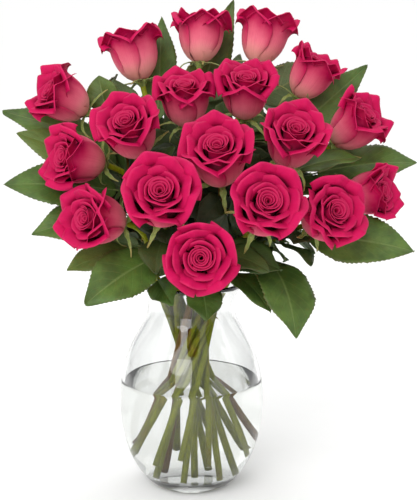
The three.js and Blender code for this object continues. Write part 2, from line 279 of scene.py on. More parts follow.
def tree_of(name):
    """A search tree of a finished piece's faces, to find what passes through them."""
    mesh = bpy.data.objects[name].data
    corners = [tuple(vertex.co) for vertex in mesh.vertices]
    return BVHTree.FromPolygons(corners, [tuple(face.vertices) for face in mesh.polygons])


def quads(rows, columns, around=False):
    """The four-sided faces of a grid of points, counted row by row."""
    index = np.arange(rows * columns).reshape(rows, columns)
    if around:
        index = np.hstack([index, index[:, :1]])
    corners = [index[:-1, :-1], index[:-1, 1:], index[1:, 1:], index[1:, :-1]]
    return np.stack([c.ravel() for c in corners], axis=1)


def frames_along(line):
    """Two directions across a line at each of its points, which don't twist along it."""
    tangent = unit(np.gradient(line, axis=0))
    start = np.cross(tangent[0], (0, 0, 1))
    if np.linalg.norm(start) < 0.1:
        start = np.cross(tangent[0], (0, 1, 0))
    out = [unit(start)]
    for t in tangent[1:]:
        out.append(unit(out[-1] - t * (out[-1] @ t)))
    out = np.array(out)
    return out, np.cross(tangent, out)


def lathe(profile, segments=128):
    """A profile of radius and height turned about the upright axis, as a grid of points."""
    a = np.linspace(0, 2 * math.pi, segments, endpoint=False)
    r, z = profile[:, :1], profile[:, 1:]
    return np.stack([r * np.cos(a), r * np.sin(a), z + 0 * a], axis=2)


# ------------------------------------------------------------------ shader expressions


class Term:
    """A number that varies over a surface, for writing shader maths as an expression."""

    def __init__(self, paint, socket):
        self.paint = paint
        self.socket = socket

    def math(self, operation, *others, clamp=False):
        values = dict(enumerate((self, *others)))
        return self.paint.node("ShaderNodeMath", {"operation": operation, "use_clamp": clamp}, values)

    def __add__(self, other):
        return self.math("ADD", other)

    def __mul__(self, other):
        return self.math("MULTIPLY", other)

    def __sub__(self, other):
        return self.math("SUBTRACT", other)

    def __rsub__(self, other):
        return self.paint.node("ShaderNodeMath", {"operation": "SUBTRACT"}, {0: other, 1: self})

    def clamp(self):
        return self.math("ADD", 0.0, clamp=True)

    def ramp(self, low, high):
        """Rises from 0 to 1 as this goes from low to high."""
        sockets = {"Value": self, "From Min": low, "From Max": high}
        return self.paint.node("ShaderNodeMapRange", {"interpolation_type": "SMOOTHSTEP"}, sockets)

    __radd__ = __add__
    __rmul__ = __mul__


class Nodes:
    """The nodes of a shader."""

    def __init__(self, tree):
        self.tree = tree

    def node(self, kind, settings=None, sockets=None, output=0):
        """A node of this type: its settings first, then its sockets' values or links."""
        made = self.tree.nodes.new(kind)
        for name, value in (settings or {}).items():
            setattr(made, name, value)
        for name, value in (sockets or {}).items():
            if isinstance(value, Term):
                self.tree.links.new(value.socket, made.inputs[name])
            else:
                made.inputs[name].default_value = value
        return Term(self, made.outputs[output])

    def value(self, name):
        """One of the mesh's named values."""
        return self.node("ShaderNodeAttribute", {"attribute_name": name}, output="Fac")

    def place(self, scale=(1, 1, 1)):
        """The place on the object, in metres, stretched by a scale."""
        coords = self.node("ShaderNodeTexCoord", output="Object")
        return self.node("ShaderNodeVectorMath", {"operation": "MULTIPLY"}, {0: coords, 1: scale})

    def vector(self, x, y, z):
        return self.node("ShaderNodeCombineXYZ", None, {0: x, 1: y, 2: z})

    def noise(self, where, scale, detail=3.0):
        sockets = {"Vector": where, "Scale": scale, "Detail": detail}
        return self.node("ShaderNodeTexNoise", None, sockets)

    def mix(self, share, low, high):
        """A colour between two colours."""
        sockets = {0: share, 6: rgba(low), 7: rgba(high)}
        return self.node("ShaderNodeMix", {"data_type": "RGBA"}, sockets, output=2)

    def bump(self, height, depth, strength=1.0):
        sockets = {"Height": height, "Distance": depth, "Strength": strength}
        return self.node("ShaderNodeBump", None, sockets)


class Paint(Nodes):
    """A material: the shader's constant values are given here, and its varying ones through feed."""

    def __init__(self, name, **constants):
        self.material = bpy.data.materials.new(name)
        self.material.use_nodes = True
        super().__init__(self.material.node_tree)
        self.shader = self.tree.nodes["Principled BSDF"]
        for socket, value in constants.items():
            self.shader.inputs[socket.replace("_", " ")].default_value = value

    def feed(self, **links):
        for name, term in links.items():
            self.tree.links.new(term.socket, self.shader.inputs[name.replace("_", " ")])
        return self.material


def rgba(colour):
    """A colour as a socket takes it."""
    return colour if isinstance(colour, Term) else (*colour[:3], 1.0)


# ------------------------------------------------------------------ the settings


def length(name, default, about):
    """A length that a user can change."""
    return FloatProperty(name=name, description=about, default=default, min=0.0, unit="LENGTH", precision=5)


def colour(name, default, about):
    """A colour that a user can change."""
    return FloatVectorProperty(
        name=name, description=about, default=default, size=3, subtype="COLOR", min=0, max=1
    )


class RoseSettings(bpy.types.PropertyGroup):
    """The flowers."""

    seed: IntProperty(name="Seed", description="Which set of small differences the roses have", default=4)
    heart_petals: IntProperty(name="Heart petals", description="Petals in the rolled heart", default=12)
    cup_petals: IntProperty(name="Cup petals", description="Petals round the heart", default=6)
    guard_petals: IntProperty(name="Guard petals", description="Wide outer petals", default=9)
    thickness: length("Petal thickness", 0.3 * MM, "Thickness of a petal")
    lip: colour("Lip", (0.50, 0.002, 0.074), "Colour of the petals' open faces")
    # Painted shade: the heart colour stands for the shade deep between the petals.
    heart: colour("Heart", (0.11, 0.0, 0.006), "Colour deep between the petals")
    back: colour("Back", (0.88, 0.20, 0.27), "Colour low on the petals' backs")


class LeafSettings(bpy.types.PropertyGroup):
    """The leaves."""

    seed: IntProperty(name="Seed", description="Which set of small differences the leaves have", default=11)
    thickness: length("Blade thickness", 0.45 * MM, "Thickness of a leaf's blade")
    stalk: length("Stalk radius", 1.0 * MM, "Radius of a leaf's stalk at the stem")
    inner: IntProperty(name="Inner leaves", description="Smaller leaves that fill the bouquet", default=190)
    upper: colour("Upper side", (0.062, 0.118, 0.018), "Colour of the upper side")
    under: colour("Underside", (0.125, 0.180, 0.075), "Colour of the underside")
    vein: colour("Veins", (0.15, 0.22, 0.06), "Colour of the veins")


class StemSettings(bpy.types.PropertyGroup):
    """The stems."""

    seed: IntProperty(name="Seed", description="Which set of small differences the stems have", default=7)
    thorns: IntProperty(name="Thorns", description="Thorns on each stem above the water", default=6)
    green: colour("Green", (0.21, 0.235, 0.003), "Colour of a fresh stem")
    brown: colour("Brown", (0.19, 0.095, 0.012), "Colour of a stem's bark")


class VaseSettings(bpy.types.PropertyGroup):
    """The glass and the water."""

    meniscus: length("Meniscus", 0.5 * MM, "How far the water climbs up the glass")
    overlap: length("Overlap", 0.15 * MM, "How far the water reaches into the glass, so that no air shows")
    glass_tint: colour("Glass", (0.93, 0.938, 0.934), "Tint of the glass")
    water_tint: colour("Water", (0.985, 0.99, 0.975), "Tint of the water")


class StageSettings(bpy.types.PropertyGroup):
    """The camera, the light and the floor."""

    pitch: FloatProperty(
        name="Pitch", description="How far the camera looks down", default=math.radians(11.5), subtype="ANGLE"
    )
    distance: length("Distance", 1.2, "From the camera to the middle of the bouquet")
    lens: FloatProperty(
        name="Lens", description="Focal length of the camera", default=101.6, min=1, unit="CAMERA"
    )
    sky: FloatProperty(name="Sky", description="Strength of the light from all round", default=0.90, min=0)
    sun: FloatProperty(name="Key light", description="Strength of the soft key light", default=1.0, min=0)


GROUPS = {
    "bouquet_roses": RoseSettings,
    "bouquet_leaves": LeafSettings,
    "bouquet_stems": StemSettings,
    "bouquet_vase": VaseSettings,
    "bouquet_stage": StageSettings,
}


# ------------------------------------------------------------------ the vase and the water


def outline(points, spacing):
    """A section's points joined by a smooth curve, at about this spacing."""
    run = np.linalg.norm(np.diff(points, axis=0), axis=1).sum()
    return along_curve(points, max(3, int(run / spacing)))


def glass_section():
    """The vase's section: foot, outside, rounded rim, inside and floor."""
    outside, inside = PROFILE[:RIM_ROW], PROFILE[RIM_ROW + 1 :]
    foot = outside[0]
    heel = inside[inside[:, 0] > MM]
    floor = heel[-1]
    turn = np.linspace(0, math.pi, 9)[1:-1]
    lip = (outside[-1] + heel[0]) / 2
    half = (outside[-1][0] - heel[0][0]) / 2
    rim = np.stack([lip[0] + half * np.cos(turn), lip[1] + (RIM_TOP - lip[1]) * np.sin(turn)], axis=1)
    under = np.array([(0, 0), (foot[0] * 0.5, 0), (foot[0] * 0.93, 0), (foot[0] * 0.985, 0.12 * MM)])
    base = np.array([(floor[0] * 0.9, floor[1]), (floor[0] * 0.5, floor[1]), (0, floor[1])])
    return np.vstack([under, outline(outside, 2 * MM), rim, outline(heel, 2 * MM), base])


def glass_paint(settings):
    """Clear glass with faint waves and smears."""
    paint = Paint("clear_glass", Roughness=0.0, IOR=1.45, Transmission_Weight=1.0)
    paint.shader.inputs["Base Color"].default_value = rgba(settings.glass_tint)
    waves = paint.noise(paint.place(), 38, 1.0)
    smears = paint.noise(paint.place((1, 1, 0.4)), 90, 4.0)
    return paint.feed(Normal=paint.bump(waves, 0.35 * MM, 0.35), Roughness=smears.ramp(0.62, 0.8) * 0.035)


def water_paint(settings):
    """Still water with a few motes in it."""
    paint = Paint("still_water", Roughness=0.0, IOR=1.2, Transmission_Weight=1.0)
    paint.shader.inputs["Base Color"].default_value = rgba(settings.water_tint)
    ripples = paint.noise(paint.place(), 55, 2.0)
    motes = paint.noise(paint.place(), 2200, 0.0).ramp(0.78, 0.82)
    return paint.feed(Normal=paint.bump(ripples, 0.15 * MM, 0.3), Roughness=motes * 0.2)


class BOUQUET_OT_vase(bpy.types.Operator):
    """Make the glass vase"""

    bl_idname = "bouquet.vase"
    bl_label = "Vase"

    def execute(self, context):
        settings = context.scene.bouquet_vase
        shape = Shape()
        shape.surface(lathe(glass_section()), around=True)
        shape.make("glass_vase", glass_paint(settings), ["vase"])
        return {"FINISHED"}


class BOUQUET_OT_water(bpy.types.Operator):
    """Make the water in the vase"""

    bl_idname = "bouquet.water"
    bl_label = "Water"

    def execute(self, context):
        settings = context.scene.bouquet_vase
        inside = PROFILE[RIM_ROW + 1 :]
        wall = inside[inside[:, 0] > MM][::-1]
        wall = outline(wall, 2 * MM)
        floor = wall[0, 1]
        brim = WATER_TOP + settings.meniscus
        wet = wall[wall[:, 1] < WATER_TOP - 2 * MM]
        touch = np.interp(brim, wall[:, 1], wall[:, 0])
        down = np.linspace(0, 1, 9)[:, None]
        climb = np.exp(-4.5 * down) * settings.meniscus
        curve = np.hstack([touch + settings.overlap - down * 4 * MM, WATER_TOP + climb])
        wet = wet + np.array([settings.overlap, 0])
        bottom = np.array([(0, floor - settings.overlap), (wet[0, 0] * 0.97, floor - settings.overlap)])
        level = np.array([(touch * 0.5, WATER_TOP), (0, WATER_TOP)])
        shape = Shape()
        shape.surface(lathe(np.vstack([bottom, wet, curve, level])), around=True)
        shape.make("vase_water", water_paint(settings), ["water"])
        return {"FINISHED"}


# ------------------------------------------------------------------ the stems


def stem_paint(settings):
    """Green skin with brown bark, dark thorns and a pale cut end."""
    paint = Paint("rose_stem", IOR=1.45, Specular_IOR_Level=0.3)
    tone, cut, thorn = (paint.value(name) for name in ("tone", "cut", "thorn"))
    blotches = paint.noise(paint.place((1, 1, 0.35)), 120, 4.0)
    streaks = paint.noise(paint.place((1, 1, 0.08)), 900, 3.0)
    brown = (tone * 0.9 + blotches * 0.9 - 0.72).ramp(0.0, 0.45)
    green, brown_bark = np.array(settings.green), np.array(settings.brown)
    fresh = paint.mix(streaks.ramp(0.3, 0.7), green * 0.8, green * 1.25)
    bark = paint.mix(streaks.ramp(0.35, 0.75), brown_bark * 0.75, brown_bark * 1.2)
    skin = paint.mix(brown, fresh, bark)
    skin = paint.mix(thorn * 0.7, skin, (0.26, 0.075, 0.045))
    colour = paint.mix(cut, skin, (0.50, 0.52, 0.27))
    grain = paint.noise(paint.place((1, 1, 0.1)), 1400, 2.0)
    rough = 0.42 + streaks * 0.2 + cut * 0.2
    return paint.feed(Base_Color=colour, Roughness=rough, Normal=paint.bump(grain, 0.12 * MM, 0.5))


def add_thorn(shape, root, out, back, size, tone):
    """A small hooked thorn."""
    s = np.linspace(0, 1, 6)[:, None]
    line = root + out * s * size + back * (s**2) * size * 0.55
    radii = size * 0.30 * (1 - s[:, 0]) ** 1.2 + 0.05 * MM
    shape.tube(line, radii, 6, tone=tone, thorn=np.linspace(0.3, 1, 6))


class BOUQUET_OT_stems(bpy.types.Operator):
    """Make the stems with their nodes, thorns and cut ends"""

    bl_idname = "bouquet.stems"
    bl_label = "Stems"

    def execute(self, context):
        settings = context.scene.bouquet_stems
        paint = stem_paint(settings)
        for number, name in enumerate(ROSES):
            rng = np.random.default_rng(settings.seed + number)
            coarse = STEM_LINES[name]
            run = np.linalg.norm(np.diff(coarse, axis=0), axis=1).sum()
            line = along_curve(coarse, int(run / (3 * MM)))
            out, side = frames_along(line)
            at = np.linspace(0, run, len(line))
            others = np.vstack([along_curve(STEM_LINES[k], 200) for k in ROSES if k != name])
            between = np.linalg.norm(line[:, None] - others[None], axis=2).min(axis=1)
            room = smooth(between - 2 * STEM_RADIUS, 0.6 * MM, 2.4 * MM)
            sway = np.sin(at / 0.031 + rng.uniform(0, 6)) * 0.25 * MM * room
            line = line + out * (sway * smooth(at, 0, 0.03) * smooth(run - at, 0, 0.03))[:, None]
            knots = np.arange(rng.uniform(0.02, 0.05), run - 0.02, rng.uniform(0.045, 0.06))
            swell = sum(np.exp(-(((at - k) / (2.2 * MM)) ** 2)) for k in knots) * room
            radii = STEM_RADIUS * (0.97 + 0.1 * swell - 0.06 * smooth(at, 0, run))
            tone = rng.choice([0.05, 0.15, 0.3, 0.4, 0.8])
            shape = Shape()
            shape.tube(line, radii, 14, tone=tone)
            tangent = unit(line[1] - line[0])
            disc = line[0] - tangent * 0.15 * MM
            cut = np.array([disc, line[0] + tangent * 0.1 * MM])
            shape.tube(cut, STEM_RADIUS * 0.9, 14, tone=tone, cut=1.0)
            for _ in range(settings.thorns + 3):
                i = int(rng.uniform(0.35, 0.93) * len(line))
                a = rng.uniform(0, 2 * math.pi)
                away = out[i] * math.cos(a) + side[i] * math.sin(a)
                back = unit(line[i] - line[i + 1])
                size = rng.uniform(2.0, 3.6) * MM
                tip = line[i] + away * (radii[i] + size) + back * size * 0.55
                if np.linalg.norm(others - tip, axis=1).min() > STEM_RADIUS + 0.6 * MM:
                    add_thorn(shape, line[i] + away * radii[i] * 0.8, away, back, size, tone)
            shape.make(f"rose_stem_{name}", paint, [f"stem_{name}"])
        return {"FINISHED"}


# ------------------------------------------------------------------ the flowers

# A petal's distance from the flower's axis at each height, as a share of its widest
CUP = np.array([
    (0.04, 0.16), (0.08, 0.34), (0.14, 0.55), (0.22, 0.72), (0.33, 0.86), (0.45, 0.95), (0.56, 0.99),
    (0.68, 1.0), (0.80, 0.99), (1.1, 0.97),
])
SEPAL_TRIES = 40  # sets of sepals tried for one flower, of which the last stands if none is clear
PETAL_ROWS = 21
PETAL_COLUMNS = 19
FOOT = 0.045


def petal(rng, turn, reach, span, length, curl, lip, droop=0.10, point=0.0, wave=0.01, narrow=0.0,
          scroll=0.02, lean=0.0):
    """One petal of a flower one unit wide, facing up, whose edge curls outwards by an angle over its lip."""
    fine = 6
    t = np.linspace(0, 1, (PETAL_ROWS - 1) * fine + 1)[:, None]
    u = np.linspace(-1, 1, PETAL_COLUMNS)[None, :]
    tip = np.exp(-((u / 0.20) ** 2))
    whole = length * (1 - droop * np.abs(u) ** 1.5 + point * tip)
    past = np.maximum(t * whole - (whole - lip), 0) / lip
    bend = curl * (1 + 0.35 * u**2) * past**1.35
    step = whole / (len(t) - 1)
    height = FOOT + np.cumsum(np.cos(bend) * step, axis=0) - step
    out = np.cumsum(np.sin(bend) * step, axis=0)
    cup = np.interp(height, CUP[:, 0], CUP[:, 1])
    radius = reach * cup * (1 - lean * smooth(t, 0.3, 1)) + out + scroll * u * smooth(t, 0.05, 0.5)
    a, b, c = rng.uniform(0, 2 * math.pi, 3)
    ruffle = smooth(t, 0.5, 1) * wave
    radius = radius + ruffle * (np.sin(3.1 * u + a) + 0.7 * np.sin(6.7 * u + b) * smooth(t, 0.75, 1))
    height = height + ruffle * np.sin(4.3 * u + c)
    around = turn + span * u * (0.60 + 0.40 * smooth(t, 0, 0.42)) * (1 - narrow * smooth(t, 0.62, 1.0))
    grid = np.stack([radius * np.cos(around), radius * np.sin(around), height], axis=2)[::fine]
    rise = t[::fine] + 0 * u
    return grid, rise, u + 0 * rise


def flower(rng, openness, fold, settings):
    """A flower's petals, one unit wide, from its heart outwards; their edges fold back by a further angle."""
    petals = []
    turn = rng.uniform(0, 2 * math.pi)
    golden = math.radians(137.5)
    for k in range(settings.heart_petals):
        f = k / (settings.heart_petals - 1)
        reach = 0.032 + 0.128 * f**0.95
        span = math.radians(165 - 85 * f**0.6)
        length = 0.76 + 0.055 * math.sin(math.pi * f * 0.8) + 0.02 * f + rng.uniform(-0.008, 0.008)
        petals.append(petal(rng, turn, reach, span, length, 0.6 + 0.5 * f, 0.05 + 0.02 * f, 0.05, 0.0, 0.003,
                            scroll=0.012 + 0.012 * f, lean=0.22 - 0.2 * f))
        turn += golden
    for k in range(settings.cup_petals):
        f = k / (settings.cup_petals - 1)
        reach = 0.182 + 0.066 * f
        length = 0.835 + 0.015 * f + rng.uniform(-0.012, 0.012)
        curl = 1.15 + 0.35 * f + rng.uniform(-0.1, 0.15)
        span = math.radians(74 - 8 * f)
        petals.append(petal(rng, turn, reach, span, length, curl, 0.12 + 0.07 * f, 0.10, 0.02, 0.006, 0.12))
        turn += golden
    inner = settings.guard_petals // 2
    for k in range(settings.guard_petals):
        f = k / (settings.guard_petals - 1)
        wide = k >= inner
        reach = (0.368 if wide else 0.280) + 0.02 * f
        length = (0.94 if wide else 0.93) + rng.uniform(-0.015, 0.015)
        curl = rng.uniform(1.05, 1.95) + fold if wide else rng.uniform(1.0, 1.3) + fold / 3
        lip = (0.23 if wide else 0.28) + 0.02 * openness
        droop, point = (0.19, 0.055) if wide else (0.15, 0.04)
        petals.append(petal(rng, turn, reach, math.radians(60 - 4 * f), length, curl, lip, droop, point,
                            0.009, 0.24, 0.014))
        turn += golden + rng.uniform(-0.12, 0.12)
    return petals


def placed(grid, seat, axis, width):
    """Points of a flower one unit wide, set on its seat."""
    side = unit(np.cross(axis, (0.31, 0.12, 0.94)))
    turn = np.stack([side, np.cross(axis, side), axis])
    return seat + (grid.reshape(-1, 3) @ turn).reshape(grid.shape) * width


def petal_paint(settings):
    """Deep pink, with painted shade that darkens the heart and the inner faces low down, a painted highlight
    along the petals' rims, and paler low on the backs.
    """
    paint = Paint("rose_petal", IOR=1.4, Specular_IOR_Level=0.2, Sheen_Weight=0.02, Sheen_Roughness=0.5,
                  Subsurface_Weight=0.05, Subsurface_Scale=0.002)
    paint.shader.inputs["Sheen Tint"].default_value = (1.0, 0.45, 0.65, 1)
    paint.shader.inputs["Subsurface Radius"].default_value = (1.0, 0.2, 0.3)
    rise, across, outer, top, tone = (paint.value(n) for n in ("rise", "across", "outer", "top", "tone"))
    off = across.math("ABSOLUTE")
    veins = paint.noise(paint.vector(across * 26 + tone * 40, rise * 2.2, outer * 9), 1.0, 4.0)
    cloud = paint.noise(paint.place(), 140, 3.0)
    heart, lip, back = list(settings.heart), list(settings.lip), list(settings.back)
    # Painted shade: the inner faces darken towards the heart colour low down and on the petals nearer the
    # middle, where shade falls between them.
    deep = 1 - rise.ramp(0.55, 0.93)
    inner_face_with_shade = paint.mix((deep + (1 - outer) * 0.42 - 0.06).clamp(), lip, heart)
    low = 1 - rise.ramp(0.22, 0.80)
    paler = (low * (outer * 0.75 + 0.25) * (1 - off.ramp(0.55, 1.0) * 0.55) + (cloud - 0.5) * 0.3).clamp()
    outer_face = paint.mix(paler, [c * 0.88 for c in lip], back)
    outer_face = paint.mix((1 - rise.ramp(0.10, 0.42)) * outer * 0.7, outer_face, (0.80, 0.40, 0.31))
    colour = paint.mix(top, outer_face, inner_face_with_shade)
    colour = paint.mix(veins.ramp(0.45, 0.72) * 0.14 + tone * 0.12, colour, [c * 0.7 for c in lip])
    # Painted highlight: the petals' rims are lightened towards bright pink.
    colour = paint.mix(rise.ramp(0.96, 1.0) * 0.18, colour, (0.80, 0.08, 0.20))
    rough = 0.52 + veins * 0.16 + cloud * 0.06
    bumps = veins * 0.7 + paint.noise(paint.place(), 1600, 2.0) * 0.3
    return paint.feed(Base_Color=colour, Roughness=rough, Normal=paint.bump(bumps, 0.18 * MM, 0.5))


def sepal_paint():
    """Soft green, browner at the tips."""
    paint = Paint("rose_sepal", IOR=1.45, Specular_IOR_Level=0.35, Subsurface_Weight=0.12,
                  Subsurface_Scale=0.002)
    rise, top, tone = (paint.value(name) for name in ("rise", "top", "tone"))
    spots = paint.noise(paint.place(), 420, 4.0)
    green = paint.mix(spots.ramp(0.3, 0.75), (0.17, 0.23, 0.05), (0.30, 0.36, 0.11))
    pale = paint.mix(top * 0.55, green, (0.40, 0.46, 0.22))
    colour = paint.mix((rise.ramp(0.55, 1.0) * (0.25 + tone * 0.5)).clamp(), pale, (0.36, 0.20, 0.07))
    return paint.feed(Base_Color=colour, Roughness=0.5 + spots * 0.2, Normal=paint.bump(spots, 0.2 * MM, 0.5))


def add_sepals(shape, rng, seat, axis, width):
    """The hip and its five narrow sepals, which curl away from the petals."""
    hip = np.array([(0.0, -0.06), (0.046, -0.05), (0.060, -0.02), (0.085, 0.01), (0.105, 0.04), (0.10, 0.062),
                    (0.0, 0.07)])
    section = along_curve(hip, 14)
    a = np.linspace(0, 2 * math.pi, 20, endpoint=False)
    r, z = section[:, :1], section[:, 1:]
    body = np.stack([r * np.cos(a), r * np.sin(a), z + 0 * a], axis=2)
    shape.surface(placed(body, seat, axis, width), around=True, tone=0.1)
    start = rng.uniform(0, 2 * math.pi)
    for k in range(5):
        turn = start + k * 2 * math.pi / 5 + rng.uniform(-0.15, 0.15)
        run = rng.uniform(0.36, 0.50)
        s = np.linspace(0, 1, 22)
        droop = rng.uniform(-1.9, -0.3) if rng.random() < 0.7 else rng.uniform(0.3, 0.75)
        angle = math.radians(8) + droop * s**1.2
        step = run / (len(s) - 1)
        r = 0.09 + np.r_[0, np.cumsum(np.cos(angle[1:]) * step)]
        z = 0.035 + np.r_[0, np.cumsum(np.sin(angle[1:]) * step)]
        side_sway = rng.uniform(-0.35, 0.35) * s**2
        wide = 0.050 * (1 - s) ** 0.8 * (1 + 0.25 * np.sin(s * 19 + k)) + 0.004
        u = np.linspace(-1, 1, 7)
        cosine, sine = np.cos(turn + side_sway)[:, None], np.sin(turn + side_sway)[:, None]
        out = r[:, None] + 0 * u
        lateral = wide[:, None] * u
        keel = z[:, None] + 0.012 * np.abs(u) ** 1.5
        grid = np.stack([out * cosine - lateral * sine, out * sine + lateral * cosine, keel], axis=2)
        rise = np.repeat(s[:, None], len(u), 1)
        shape.sheet(placed(grid, seat, axis, width), 0.5 * MM, rise=rise, tone=rng.uniform(0, 1))


class BOUQUET_OT_roses(bpy.types.Operator):
    """Make the flowers with their petals, sepals and hips"""

    bl_idname = "bouquet.roses"
    bl_label = "Roses"

    def execute(self, context):
        settings = context.scene.bouquet_roses
        petals_paint = petal_paint(settings)
        sepals_paint = sepal_paint()
        draws = {}
        for number, name in enumerate(ROSES):
            rng = np.random.default_rng(100 * settings.seed + number)
            seat, axis, width = SEATS[name]
            openness = float(smooth(width, 46 * MM, 59 * MM))
            petals = flower(rng, openness, 0.6 * float(smooth(axis[2], 0.82, 0.94)), settings)
            shape = Shape()
            for k, (grid, rise, across) in enumerate(petals):
                outer = k / (len(petals) - 1)
                shape.sheet(placed(grid, seat, axis, width)[:, ::-1], settings.thickness, rise=rise,
                            across=across, outer=outer, tone=rng.uniform(0, 1))
            shape.make(f"rose_petals_{name}", petals_paint, [f"bloom_{name}"])
            draws[name] = rng
        heads = {name: tree_of(f"rose_petals_{name}") for name in ROSES}
        around = [tree_of(f"rose_{node}") for node in LEAVES]
        for name in ROSES:
            near = around + [tree for other, tree in heads.items() if other != name]
            for _ in range(SEPAL_TRIES):
                calyx = Shape()
                add_sepals(calyx, draws[name], *SEATS[name])
                tree = calyx.tree()
                if not any(tree.overlap(other) for other in near):
                    break
            around.append(tree)
            calyx.make(f"rose_sepals_{name}", sepals_paint)
        return {"FINISHED"}


# ------------------------------------------------------------------ the leaves

TEETH = 24
LEAF_TRIES = 40000  # places tried for the inner leaves
FACING_OUT = 0.6  # share of the inner leaves that face out of the bouquet
INNER_LENGTHS = (38, 76)  # of an inner leaf with its stalk, in millimetres
INNER_STALK = 0.17  # share of an inner leaf's length that is stalk
RIM_GAP = 4 * MM  # height above the rim where leaves begin
STEM_GAP = 2.2 * MM  # between an inner leaf's blade and another stem
BLADE_GAP = 3.5 * MM  # between two leaves' test points
JOIN_REACH = 7 * MM  # how far from its root a leaf may touch its own stem


def leaf_paint(settings):
    """Veined green and paler underneath, with painted shade that darkens the leaves deep inside the bouquet.
    """
    paint = Paint("rose_leaf", IOR=1.45, Specular_IOR_Level=0.4, Subsurface_Weight=0.08,
                  Subsurface_Scale=0.002)
    along, across, top, tone, stalk = (paint.value(n) for n in ("along", "across", "top", "tone", "stalk"))
    # Painted shade: the inside value is how deep the leaf lies in the bouquet.
    inside = paint.value("inside")
    off = across.math("ABSOLUTE")
    midrib = 1 - off.ramp(0.015, 0.07)
    ribs = ((along * 8.5 - off * 2.1) * math.pi).math("SINE").math("ABSOLUTE")
    side_veins = (1 - ribs.ramp(0.02, 0.22)) * (1 - off.ramp(0.75, 1.0))
    net = paint.noise(paint.vector(across * 14, along * 34, tone * 20), 1.0, 5.0)
    cloud = paint.noise(paint.place(), 60, 3.0)
    green = np.array(settings.upper)
    upper = paint.mix(cloud.ramp(0.3, 0.7), green * 0.72, green * 1.3)
    yellow = (tone * 1.6 - 0.95 + (cloud - 0.5) * 0.8).clamp()
    upper = paint.mix(yellow, upper, (0.13, 0.17, 0.035))
    upper = paint.mix((midrib * 0.6 + side_veins * 0.16).clamp(), upper, list(settings.vein))
    under = paint.mix((midrib * 0.7 + side_veins * 0.45).clamp(), list(settings.under), (0.22, 0.28, 0.13))
    colour = paint.mix(top, under, upper)
    colour = paint.mix(net.ramp(0.5, 0.7) * 0.30, colour, [c * 0.6 for c in settings.upper])
    edge = off.ramp(0.93, 1.0) * 0.35
    colour = paint.mix(edge * (0.4 + tone), colour, (0.16, 0.12, 0.05))
    colour = paint.mix(stalk, colour, (0.19, 0.24, 0.07))
    # Painted shade: leaves deep inside the bouquet darken almost to black.
    colour = paint.mix(inside * 0.9, colour, (0.006, 0.011, 0.003))
    rough = 0.62 - top * 0.18 + net * 0.14
    relief = net * 0.5 - side_veins * 0.6 - midrib * 0.5
    return paint.feed(Base_Color=colour, Roughness=rough, Normal=paint.bump(relief, 0.25 * MM, 0.6))


def blade_half_width(s, width):
    """Half of a blade's width at a share of its length: round at the stalk, and drawn out to a point."""
    body = np.sin(math.pi * np.clip(s, 0, 1) ** 0.80) ** 0.72
    return width / 2 * body * (1 - 0.30 * smooth(s, 0.62, 1.0)) / 0.985 + 0.15 * MM


def add_leaf(shape, rng, line, side, up, width, settings, blade_from, inside=0.0, tooth_rows=3, columns=17):
    """A leaf along a line: up to blade_from it is a stalk, and beyond that a toothed and veined blade."""
    rows = TEETH * tooth_rows + 1
    # The inside value carries painted shade into the leaf's colour.
    tone_and_painted_shade = {"tone": rng.uniform(0, 0.9), "inside": inside}
    first = int(round(blade_from * (len(line) - 1)))
    stem_part = along_curve(line[: first + 2], 10) if first > 0 else line[:2]
    taper = np.linspace(settings.stalk, settings.stalk * 0.62, len(stem_part))
    shape.tube(stem_part, taper, 8, stalk=1.0, **tone_and_painted_shade)
    spine = along_curve(line[first:], rows)
    share_at = np.linspace(blade_from, 1, rows)
    whole = np.linspace(0, 1, len(line))
    sides = unit(np.stack([np.interp(share_at, whole, side[:, k]) for k in range(3)], axis=1))
    tangent = unit(np.gradient(spine, axis=0))
    ups = unit(np.cross(sides, tangent))
    facing = np.array([np.interp(0.5, whole, up[:, k]) for k in range(3)])
    ups = ups * np.sign(np.sum(ups * facing, axis=1))[:, None]
    sides = unit(np.cross(tangent, ups))
    s = np.linspace(0, 1, rows)[:, None]
    u = np.linspace(-1, 1, columns)[None, :]
    half = blade_half_width(s, width)
    tooth = (s * TEETH) % 1.0
    reach = half * u * (1 + 0.075 * tooth * np.abs(u) ** 6 * smooth(s, 0.06, 0.2))
    a, b = rng.uniform(0, 2 * math.pi, 2)
    fold = rng.uniform(0.12, 0.32)
    lift = np.abs(reach) * fold * (1 - 0.5 * np.abs(u))
    lift = lift + 1.3 * MM * np.abs(u) ** 2 * np.sin(s * 13 + a + np.sign(u) * 1.3) * smooth(s, 0, 0.2)
    lift = lift - 2.0 * MM * u * np.sin(s * 4 + b) * 0.5
    ribs = np.abs(np.sin((s * 8.5 - np.abs(u) * 2.1) * math.pi))
    lift = lift + 0.45 * MM * ribs**0.7 * np.abs(u) ** 0.5 * (1 - np.abs(u) ** 3) * smooth(s, 0, 0.1)
    lift = lift - 0.5 * MM * np.exp(-((reach / (1.1 * MM)) ** 2)) * (1 - s)
    slant = tangent[:, None] * (np.abs(reach) * 0.10)[:, :, None]
    grid = spine[:, None] + sides[:, None] * reach[:, :, None] + ups[:, None] * lift[:, :, None] + slant
    shape.sheet(grid, settings.thickness, along=s + 0 * u, across=u + 0 * s, **tone_and_painted_shade)
    rib = spine - ups * 0.45 * MM
    rib = rib[: int(rows * 0.9)]
    shape.tube(rib, np.linspace(settings.stalk * 0.62, 0.15 * MM, len(rib)), 6, stalk=0.8, **tone_and_painted_shade)
    return grid


FRONT_TOPS = ("leaf_07", "leaf_08")
HEART = np.array([0, 0, RIM_TOP - 0.02])


def leaf_rows(node):
    """A CAD leaf's rows of corners, from its stalk to its tip."""
    stems = np.vstack([along_curve(line, 120) for line in STEM_LINES.values()])

    def nearest(places):
        gap = [np.linalg.norm(stems - p, axis=1).min() for p in places]
        return [int(np.argmin(gap))]

    rows = rows_of(node, nearest)
    root = rows[0][0]
    onto = stems[np.argmin(np.linalg.norm(stems - root, axis=1))]
    return rows, root, onto


